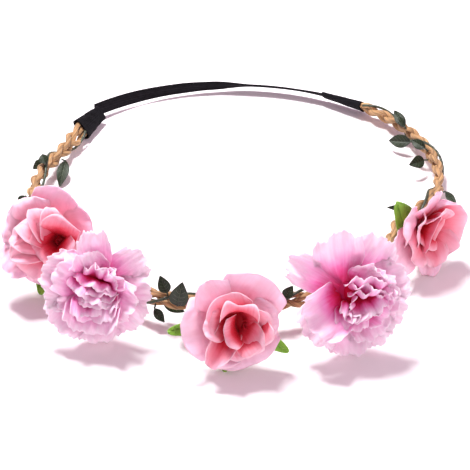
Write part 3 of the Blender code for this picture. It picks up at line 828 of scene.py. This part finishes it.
def addPetal(shape, place, scale, seed, angle, **changes):
    # One petal, bent from a grid in the flower's own space.
    petal = {**petalDefaults, **changes}
    turn = math.radians(angle)
    radial = Vector((math.cos(turn), math.sin(turn), 0))
    tangent = Vector((-math.sin(turn), math.cos(turn), 0))
    steps = 48
    line = [(petal["base"], petal["foot"], math.radians(petal["rise"][0]))]
    for i in range(1, steps + 1):
        share = i / steps
        slope = mix(petal["rise"][0], petal["rise"][1], ease(share))
        rolled = max(0.0, share - petal["rollFrom"]) / (1 - petal["rollFrom"])
        slope = math.radians(slope - petal["roll"] * rolled ** 1.5)
        reach, height, _ = line[-1]
        step = petal["length"] / steps
        line.append((reach + math.cos(slope) * step, height + math.sin(slope) * step, slope))
    for vertex, u, v in addGrid(shape, *petal["detail"]):
        across = u * 2 - 1
        shorter = 1 - petal["round"] * abs(across) ** 2.4
        shorter += petal["point"] * math.exp(-((across / 0.22) ** 2))
        shorter += petal["scallop"] * (math.sin(across * 11 + seed) * 0.6 + math.sin(across * 29 + seed * 3) * 0.4) * v
        spot = min(1.0, max(0.0, v * shorter)) * steps
        low = min(steps - 1, int(spot))
        reach, height, slope = (mix(a, b, spot - low) for a, b in zip(line[low], line[low + 1]))
        opening = math.sin(math.pi / 2 * min(1.0, v / petal["widest"]))
        half = petal["width"] / 2 * (petal["neck"] + (1 - petal["neck"]) * opening)
        x = across * half
        lift = 0.0
        if petal["wrap"]:
            bend = petal["wrap"]
            lift += bend * (1 - math.cos(x / bend))
            x = bend * math.sin(x / bend)
        lift -= petal["sideRoll"] * ease((abs(across) - 0.62) / 0.38) * v
        lift += petal["ruffle"] * v ** 1.6 * math.sin(across * petal["waves"] * math.pi + petal["phase"])
        lift += petal["twist"] * across * v
        lift += petal["fold"] * (abs(across) - 0.4) * v
        spotInNoise = Vector((across * 1.6 + seed * 7.3, v * 2.2, seed * 3.1))
        lift += petal["crumple"] * noise.noise(spotInNoise) * (0.25 + v)
        lift += petal["crumple"] * 0.35 * noise.noise(spotInNoise * 3.1) * v
        x += petal["sway"] * v * v
        reach -= math.sin(slope) * lift
        height += math.cos(slope) * lift
        spot = radial * reach + tangent * x + Vector((*petal["shift"], height))
        vertex.co = place @ (spot * scale * mm)


def addSpiral(shape, place, scale, start, turns, radii, bottom, height, flare, seed):
    # A rolled strip, the heart of a rose.
    for vertex, u, v in addGrid(shape, 90, 14):
        turn = math.radians(start) + u * turns * 2 * math.pi
        radius = mix(radii[0], radii[1], u) + flare * v ** 3 * (0.3 + 0.7 * u)
        radius *= mix(0.75, 1, ease(v * 1.6))
        radius += 0.25 * noise.noise(Vector((u * 7, v * 2, seed)))
        top = height * (1 - 0.18 * u) + 0.8 * math.sin(turn * 1.5 + seed)
        spot = Vector((radius * math.cos(turn), radius * math.sin(turn), bottom + v * top))
        vertex.co = place @ (spot * scale * mm)


flowers = {
    "left_rose": {"band": (-53, 66, 2.6), "aim": (264, 34), "scale": 1.06, "spin": 46},
    "left_carnation": {"band": (-32, 42, 0.4), "aim": (268, 28), "scale": 1.00, "spin": 10},
    "front_rose": {"band": (0, 10, 0.8), "aim": (271, 27), "scale": 1.03, "spin": 43},
    "right_carnation": {"band": (26.5, 44, 0.8), "aim": (275, 28), "scale": 1.10, "spin": 40},
    "right_rose": {"band": (57.5, 58, 2.0), "aim": (306, 8), "scale": 1.00, "spin": 37},
}


def flowerPlace(name):
    # The flower's own space: Z along its axis, Y as near up as that lets it be.
    angle, clock, distance = flowers[name]["band"]
    foot = besideBand(angle, clock, clearOfBand + distance * mm)[0]
    heading, elevation = (math.radians(value) for value in flowers[name]["aim"])
    axis = Vector((math.cos(heading) * math.cos(elevation), math.sin(heading) * math.cos(elevation),
                   math.sin(elevation)))
    return Matrix.Translation(foot) @ axis.to_track_quat("Z", "Y").to_matrix().to_4x4()


def makeLayer(flower, layer, petals, material, thickness=0.22 * mm, seed=1, inside=None):
    # One stamped layer: its petals, and the disc that joins them round the stem.
    place, scale = flowerPlace(flower), flowers[flower]["scale"]
    shape = newShape()
    for number, petal in enumerate(petals):
        petal = dict(petal)
        addPetal(shape, place, scale, seed + number * 1.7, petal.pop("angle"), **petal)
    shifts = [Vector(petal.get("shift", (0, 0))) for petal in petals]
    first = {**petalDefaults, **petals[0]}
    middle = Vector((*(sum(shifts, Vector((0, 0))) / len(shifts)), first["foot"] + 0.1))
    radius = (first["base"] * 1.2 + 0.8) * scale * mm
    bmesh.ops.create_circle(shape, cap_ends=True, segments=28, radius=radius,
                            matrix=place @ Matrix.Translation(middle * scale * mm))
    return makePiece(f"{flower}_{layer}_cut", shape, material, f"{flower}_{layer}", thickness=thickness,
                     inside=inside)


def ringOf(angles, **common):
    return [{"angle": angle, **common} for angle in angles]


# Each rose: its petals from the outside in
roseOuter = {"foot": 8.0, "length": 17.0, "width": 20.0, "rise": (40, 22), "roll": 44, "rollFrom": 0.74,
             "round": 0.34, "sideRoll": 1.8, "crumple": 2.0, "twist": 1.6, "base": 3.0, "point": 0.06}
roseMiddle = {"foot": 9.0, "length": 14.5, "width": 17.0, "rise": (64, 32), "roll": 66, "rollFrom": 0.70,
              "round": 0.28, "wrap": 12.0, "sideRoll": 1.6, "crumple": 1.3, "twist": 1.8, "point": 0.07}
roseInner = {"foot": 10.0, "length": 13.0, "width": 14.0, "rise": (90, 68), "roll": 90, "rollFrom": 0.80,
             "round": 0.14, "wrap": 14.0, "sideRoll": 0.8, "crumple": 0.6, "twist": 0.8, "base": 4.4,
             "neck": 0.55}
roseBud = {"turns": 1.2, "radii": (0.4, 1.7), "bottom": 9.0, "height": 4.5, "flare": 0.3}


def makeRose(name, outer, middle, inner, bud, seed):
    # Inward faces and inner layers take the darker sets: painted shade inside the cup.
    layers = (("outer_petals", roseOuter, outer, "roseOuter", "roseOuter"),
              ("middle_petals", roseMiddle, middle, "roseOuter", "rose"),
              ("inner_petals", roseInner, inner, "rose", "roseDeep"))
    for number, (layer, common, petals, outside, inside) in enumerate(layers):
        makeLayer(name, layer, [{**common, **petal} for petal in petals], outside,
                  seed=seed + 20 * number, inside=inside)
    place, scale = flowerPlace(name), flowers[name]["scale"]
    shape = newShape()
    centre = Vector((*bud.pop("centre", (0, 0)), 0))
    addSpiral(shape, place @ Matrix.Translation(centre * mm), scale, seed=seed, **{**roseBud, **bud})
    makePiece(f"{name}_bud_cut", shape, "roseHeart", f"{name}_bud",
              thickness=0.22 * mm)


makeRose("front_rose",
         [{"angle": 58, "width": 25, "length": 21.5, "rise": (34, 24), "roll": 14, "crumple": 0.8, "point": 0.02},
          {"angle": 122, "width": 17, "length": 19.5, "point": 0.10, "roll": 20},
          {"angle": 187, "width": 24, "length": 19, "crumple": 1.0},
          {"angle": 243, "width": 17, "length": 16},
          {"angle": 294, "width": 27, "length": 15.5, "point": 0, "rise": (32, 14), "roll": 24},
          {"angle": 12, "width": 17, "length": 16}],
         [{"angle": 8, "length": 14.5, "width": 15, "rise": (54, 26), "wrap": 9, "point": 0, "roll": 40},
          {"angle": 104, "length": 14, "width": 20, "rise": (58, 32), "roll": 30, "sideRoll": 1},
          {"angle": 172, "length": 12.5, "width": 14, "rise": (68, 36), "wrap": 8},
          {"angle": 237, "length": 18, "width": 15, "rise": (48, 28), "wrap": 5, "point": 0.22, "round": 0.5,
           "sideRoll": 0, "roll": 0, "neck": 0.5, "twist": 0},
          {"angle": 302, "length": 14.5, "width": 18, "rise": (64, 28)}],
         [{"angle": 85, "shift": (1.5, -0.5), "length": 12.5, "width": 18, "wrap": 7.5, "rise": (92, 66), "roll": 150,
           "rollFrom": 0.74, "base": 6.0, "neck": 0.8},
          {"angle": 190, "shift": (4.5, -0.5), "length": 12.5, "width": 13, "wrap": 8, "rise": (84, 62), "base": 3.6,
           "point": 0.1},
          {"angle": 308, "shift": (4.5, -0.5), "length": 12.5, "width": 17, "wrap": 13, "rise": (80, 44), "base": 2.6,
           "point": 0.1}],
         {"start": 60, "centre": (4.5, -0.5)}, 1)
makeRose("left_rose",
         [{"angle": 18, "width": 22, "length": 21, "crumple": 1.2, "roll": 20, "rise": (4, 40)},
          {"angle": 62, "width": 21, "length": 20, "roll": 20, "crumple": 1.2, "rise": (10, 40)},
          {"angle": 108, "width": 18, "length": 14.5}, {"angle": 150, "width": 18, "length": 12.5},
          {"angle": 190, "width": 17, "length": 11}, {"angle": 234, "width": 17, "length": 16.5, "point": 0.12},
          {"angle": 285, "width": 18, "length": 16, "rise": (14, 24)}],
         [{"angle": 99, "shift": (8, -1), "length": 17.5, "width": 12, "rise": (66, 34), "wrap": 5, "base": 1.5,
           "twist": 3.0, "round": 0.5},
          {"angle": 126, "shift": (8, -1), "length": 18.5, "width": 12, "rise": (62, 30), "wrap": 5, "base": 1.5,
           "twist": 3.0, "round": 0.5},
          {"angle": 150, "shift": (8, -1), "length": 19, "width": 12, "rise": (58, 40), "wrap": 6, "base": 1.5,
           "roll": 150, "rollFrom": 0.62, "twist": 2.0},
          {"angle": 172, "shift": (8, -1), "length": 19.5, "width": 13, "rise": (56, 14), "base": 1.5, "twist": 2.4},
          {"angle": 194, "shift": (8, -1), "length": 20, "width": 13, "rise": (56, 12), "base": 1.5, "twist": 2.4},
          {"angle": 222, "shift": (8, -1), "length": 20, "width": 19, "rise": (58, 10), "base": 1.5, "twist": -1.5,
           "wrap": 18}],
         [{"angle": 64, "shift": (8, -1), "length": 15, "width": 15, "wrap": 12, "rise": (74, 46), "base": 1.8,
           "twist": 2.5},
          {"angle": 150, "shift": (8, -1), "length": 13, "width": 11, "wrap": 7, "rise": (78, 30), "base": 1.8},
          {"angle": 225, "shift": (8, -1), "length": 12, "width": 12, "rise": (78, 34), "base": 1.8},
          {"angle": 320, "shift": (7.5, -1), "length": 12, "width": 13, "rise": (76, 44), "base": 1.4}],
         {"start": 200, "centre": (8.3, -1.2), "radii": (0.3, 1.0), "height": 2.5}, 3)
makeRose("right_rose",
         [{"angle": 92, "width": 16, "length": 19, "point": 0.05, "rise": (38, 30), "roll": 20, "crumple": 1.0},
          {"angle": 150, "width": 17, "length": 18}, {"angle": 200, "width": 20, "length": 22, "rise": (36, 16)},
          {"angle": 256, "width": 16, "length": 19, "point": 0.3, "round": 0.6, "rise": (42, 26), "fold": 3},
          {"angle": 304, "width": 17, "length": 18, "point": 0.3, "round": 0.6, "rise": (42, 26), "fold": 3},
          {"angle": 20, "width": 17, "length": 15}],
         [{"angle": 345, "width": 26, "length": 17, "rise": (48, 26), "wrap": 24, "crumple": 0.6, "roll": 24,
           "point": 0, "sideRoll": 3, "base": 1.4},
          {"angle": 62, "length": 14, "width": 15, "rise": (64, 44)},
          {"angle": 145, "length": 16, "width": 15, "rise": (56, 34), "roll": 20, "wrap": 20},
          {"angle": 198, "length": 18, "width": 16, "rise": (54, 30), "roll": 20, "wrap": 20},
          {"angle": 262, "length": 16, "width": 15, "point": 0.22, "rise": (60, 34)},
          {"angle": 300, "length": 15, "width": 14, "point": 0.2, "rise": (60, 34)}],
         [{"angle": 322, "rise": (76, 40), "length": 6, "width": 16, "wrap": 24, "base": 1.2, "roll": 20},
          {"angle": 140, "rise": (84, 66), "length": 10, "width": 18, "wrap": 24, "base": 1.4, "roll": 30},
          {"angle": 228, "rise": (76, 40), "length": 9, "width": 11, "base": 2.0}],
         {"start": 120, "radii": (0.3, 0.9), "height": 2.5}, 5)
print("roses made")

carnationGuard = {"foot": 8.0, "length": 21.0, "width": 18.0, "rise": (34, 20), "roll": 12, "rollFrom": 0.6,
                  "round": 0.20, "sideRoll": 0.4, "ruffle": 0.9, "waves": 1.8, "scallop": 0.05, "crumple": 2.4,
                  "detail": (34, 28), "neck": 0.2, "twist": 1.0}
carnationSecond = {**carnationGuard, "length": 18.0, "width": 17.0, "rise": (50, 28), "foot": 9.0, "ruffle": 1.2,
                   "waves": 2.0}
carnationThird = {**carnationGuard, "length": 15.5, "width": 16.0, "rise": (68, 38), "foot": 10.0, "ruffle": 1.4,
                  "waves": 2.4, "roll": 30, "crumple": 1.6}
carnationFourth = {**carnationGuard, "length": 13.0, "width": 16.0, "rise": (86, 62), "foot": 11.0, "ruffle": 1.3,
                   "waves": 2.6, "roll": 50, "crumple": 1.2, "base": 2.0, "detail": (40, 20), "neck": 0.4}
carnationTuft = {**carnationFourth, "length": 11.0, "width": 14.0, "rise": (92, 78), "foot": 11.5, "base": 1.0}


def makeCarnation(name, guard, second, third, fourth, tuft, seed):
    # Inward faces and inner layers take the darker sets: painted shade inside the cup.
    layers = (("guard_petals", carnationGuard, guard, "carnationOuter", "carnationOuter"),
              ("second_petals", carnationSecond, second, "carnationOuter", "carnation"),
              ("third_petals", carnationThird, third, "carnation", "carnationDeep"),
              ("fourth_petals", carnationFourth, fourth, "carnation", "carnationDeep"),
              ("tuft", carnationTuft, tuft, "carnation", "carnationDeep"))
    for number, (layer, common, petals, outside, inside) in enumerate(layers):
        petals = [{"phase": seed + place * 1.9, **common, **petal} for place, petal in enumerate(petals)]
        makeLayer(name, layer, petals, outside, thickness=0.16 * mm, seed=seed + number * 13,
                  inside=inside)


makeCarnation("left_carnation",
              [{"angle": 92, "length": 25, "width": 13, "rise": (38, 30)}, {"angle": 36, "length": 23, "width": 15},
               {"angle": 0, "length": 21, "width": 15}, {"angle": 322, "length": 21, "width": 16, "rise": (28, 12)},
               {"angle": 268, "length": 20, "width": 20, "rise": (26, 8)}, {"angle": 222, "length": 22, "width": 19},
               {"angle": 185, "length": 20, "width": 16}, {"angle": 157, "length": 22, "width": 18}],
              [{"angle": 104, "length": 18, "width": 15, "rise": (54, 38)}, {"angle": 150, "length": 19, "width": 18},
               {"angle": 200, "length": 16, "width": 14, "rise": (46, 16)},
               {"angle": 262, "length": 18.5, "width": 25, "rise": (56, 22), "wrap": 13, "ruffle": 0.8},
               {"angle": 338, "length": 19, "width": 16, "rise": (52, 34)}],
              [{"angle": 74, "length": 14, "width": 13, "rise": (72, 50)}, {"angle": 20, "length": 15, "width": 13},
               {"angle": 268, "length": 15.5, "width": 21, "rise": (74, 34), "wrap": 11, "ruffle": 1.0}],
              [{"angle": 40, "shift": (1, 3), "width": 14}, {"angle": 236, "shift": (0, 3), "width": 19},
               {"angle": 262, "shift": (1, 0.5), "width": 18}, {"angle": 275, "shift": (0, -2.4), "width": 18}],
              [{"angle": 246, "shift": (0, 4.5), "width": 16}, {"angle": 262, "shift": (0, 1.8), "width": 17},
               {"angle": 270, "shift": (0.5, -1.0), "width": 17}], 2)
makeCarnation("right_carnation",
              [{"angle": 100, "length": 26, "width": 18, "rise": (38, 30), "shift": (-2, 0)},
               {"angle": 58, "length": 23, "width": 17, "shift": (-1, 1)},
               {"angle": 18, "length": 20, "width": 17}, {"angle": 338, "length": 19, "width": 17},
               {"angle": 297, "length": 19, "width": 17, "rise": (28, 10)},
               {"angle": 262, "length": 20, "width": 18, "rise": (28, 8)},
               {"angle": 220, "length": 21, "width": 18}, {"angle": 148, "length": 27, "width": 12, "fold": 2.5}],
              [{"angle": 206, "length": 20, "width": 23, "wrap": 11, "rise": (60, 20), "shift": (-1, 0),
                "ruffle": 0.7},
               {"angle": 44, "length": 16, "width": 16, "rise": (58, 40)}, {"angle": 352, "length": 17, "width": 18},
               {"angle": 300, "length": 17, "width": 15, "rise": (46, 20)}],
              [{"angle": 25, "length": 14, "shift": (3, 0)}, {"angle": 330, "length": 14, "shift": (2, 0)},
               {"angle": 262, "length": 14, "width": 12, "fold": 3}],
              [{"angle": 80, "shift": (4, 1)}, {"angle": 62, "shift": (4, -2.0)},
               {"angle": 290, "shift": (4, 1), "width": 13},
               {"angle": 236, "shift": (1, -1.5), "width": 9, "fold": 4}],
              [{"angle": 75, "shift": (4.5, -0.6)}, {"angle": 285, "shift": (4.5, -3.4), "width": 14},
               {"angle": 200, "shift": (1.5, -3), "width": 8, "fold": 4},
               {"angle": 250, "shift": (0.5, -4.5), "width": 7, "fold": 4}], 6)
print("carnations made")

# Sepals of each rose, calyx and stem of each flower
sepals = {"base": 2.2, "foot": 6.8, "length": 20.0, "width": 8.5, "rise": (8, 14), "roll": -8, "rollFrom": 0.6,
          "neck": 0.45, "round": 0.92, "wrap": 9.0, "sideRoll": 0.0, "crumple": 0.5, "widest": 0.35,
          "detail": (14, 26), "ruffle": 0.2}
# Each rose's five sepals: length, sideways bend and width in mm
sepalReach = {
    "left_rose": ((12, 0, 8), (12, 0, 8), (12, 0, 8), (20, 5, 8.5), (12, 0, 8)),
    "front_rose": ((13, 0, 8), (13, 0, 8), (23, 0, 9), (17.5, 0, 8), (21.5, 0, 8.5)),
    "right_rose": ((12, 0, 8), (22, 9, 4.2), (18, 2, 4.6), (13, 0, 8), (12, 0, 8)),
}
calyx = {
    "profile": ((1.5, 6.0), (4.4, 6.15), (5.0, 5.9), (4.9, 5.2), (4.0, 3.8), (3.0, 2.4), (2.55, 1.5), (1.5, 1.4)),
    "steps": 50,
    "ribs": 5,
    "ribDepth": 0.06,
}
stem = {"radius": 1.15, "top": 7.6, "tapePitch": 2.4, "root": 0.55}


def makeGreens(name):
    place, scale = flowerPlace(name), flowers[name]["scale"]
    if "rose" in name:
        blades = [{**sepals, "angle": flowers[name]["spin"] + 72 * i, "length": length, "sway": sway,
                   "width": width} for i, (length, sway, width) in enumerate(sepalReach[name])]
        makeLayer(name, "sepals", blades, "sepal", thickness=0.3 * mm, seed=len(name))
    shape = newShape()
    corners = [shape.verts.new((radius, 0, height)) for radius, height in calyx["profile"]]
    edges = [shape.edges.new(pair) for pair in zip(corners, corners[1:] + corners[:1])]
    bmesh.ops.spin(shape, geom=corners + edges, cent=(0, 0, 0), axis=(0, 0, 1), angle=2 * math.pi,
                   steps=calyx["steps"], use_merge=True)
    layer = shape.loops.layers.uv.verify()
    for face in shape.faces:
        for loop in face.loops:
            turn = math.atan2(loop.vert.co.y, loop.vert.co.x) / (2 * math.pi)
            loop[layer].uv = (turn * calyx["ribs"] % 1.0, loop.vert.co.z / 6.2)
    for vertex in shape.verts:
        turn = math.atan2(vertex.co.y, vertex.co.x)
        share = max(0.0, vertex.co.xy.length - 1.6) / 3.4
        vertex.co.xy *= 1 + calyx["ribDepth"] * share * math.cos(calyx["ribs"] * turn)
        vertex.co = place @ (vertex.co * mm)
    bmesh.ops.recalc_face_normals(shape, faces=shape.faces)
    makePiece(f"{name}_calyx_cup", shape, "calyx", f"{name}_calyx")
    shape = newShape()
    foot, axis = place.translation, place.to_3x3().col[2]
    inward = ovalPoint(flowers[name]["band"][0]) - foot
    points = [foot + inward * stem["root"] * (1 - i / 8) ** 1.3 for i in range(8)]
    points += [foot + axis * stem["top"] * i / 32 * mm for i in range(33)]

    def outline(turn, share):
        wound = math.cos(turn - 2 * math.pi * share * stem["top"] / stem["tapePitch"])
        radius = stem["radius"] * (1 + 0.05 * wound) * mm
        return radius * math.cos(turn), radius * math.sin(turn)

    addTube(shape, parallelRings(points), 16, outline)
    makePiece(f"{name}_taped_stem", shape, "calyx", f"{name}_stem", close=True)


for flowerName in flowers:
    makeGreens(flowerName)
print("greens made")

# Floor, light and camera
studio = {
    "floor": (0.92, 0.92, 0.92),
    "world": 0.56,
    "worldTint": (1.0, 0.68, 0.85, 1),
    "keyPower": 14.5,
    "keyPlace": (-0.18, 0.29, 0.88),
    "keySize": 0.24,
    "fillPower": 2.2,
    "fillPlace": (0.5, -0.6, 0.6),
    "fillSize": 0.8,
}


def makeFloor():
    shape = newShape()
    addGrid(shape, 2, 2)
    bmesh.ops.scale(shape, vec=(3, 3, 1), verts=shape.verts)
    mesh = bpy.data.meshes.new("floor")
    shape.to_mesh(mesh)
    shape.free()
    material, tree, shader, uv, place = startMaterial("paleFloor", {"Roughness": 0.6, "Specular IOR Level": 0.2})
    shader.inputs["Base Color"].default_value = (*studio["floor"], 1)
    mesh.materials.append(material)
    floor = bpy.data.objects.new("floor", mesh)
    bpy.context.scene.collection.objects.link(floor)


def addLight(name, power, place, size, aim=(0, 0, 0)):
    light = bpy.data.lights.new(name, "AREA")
    light.shape = "DISK"
    light.energy = power
    light.size = size
    lamp = bpy.data.objects.new(name, light)
    lamp.location = place
    lamp.rotation_euler = (Vector(aim) - Vector(place)).to_track_quat("-Z", "Y").to_euler()
    bpy.context.scene.collection.objects.link(lamp)


def makeCamera():
    distance, elevation = 0.600, math.radians(36)
    extraDown, extraRight = math.radians(2.075), math.radians(0.09)
    data = bpy.data.cameras.new("camera")
    data.sensor_width = 36
    data.lens = 36 * 1314 / 470
    camera = bpy.data.objects.new("camera", data)
    camera.location = band["centre"] + Vector((0, -math.cos(elevation), math.sin(elevation))) * distance
    camera.rotation_euler = (math.pi / 2 - elevation - extraDown, 0, -extraRight)
    bpy.context.scene.collection.objects.link(camera)
    bpy.context.scene.camera = camera


makeFloor()
addLight("key", studio["keyPower"], studio["keyPlace"], studio["keySize"])
addLight("fill", studio["fillPower"], studio["fillPlace"], studio["fillSize"])
makeCamera()
world = bpy.data.worlds.new("world")
world.use_nodes = True
world.node_tree.nodes["Background"].inputs["Color"].default_value = studio["worldTint"]
world.node_tree.nodes["Background"].inputs["Strength"].default_value = studio["world"]
bpy.context.scene.world = world
bpy.context.scene.view_settings.view_transform = "Standard"
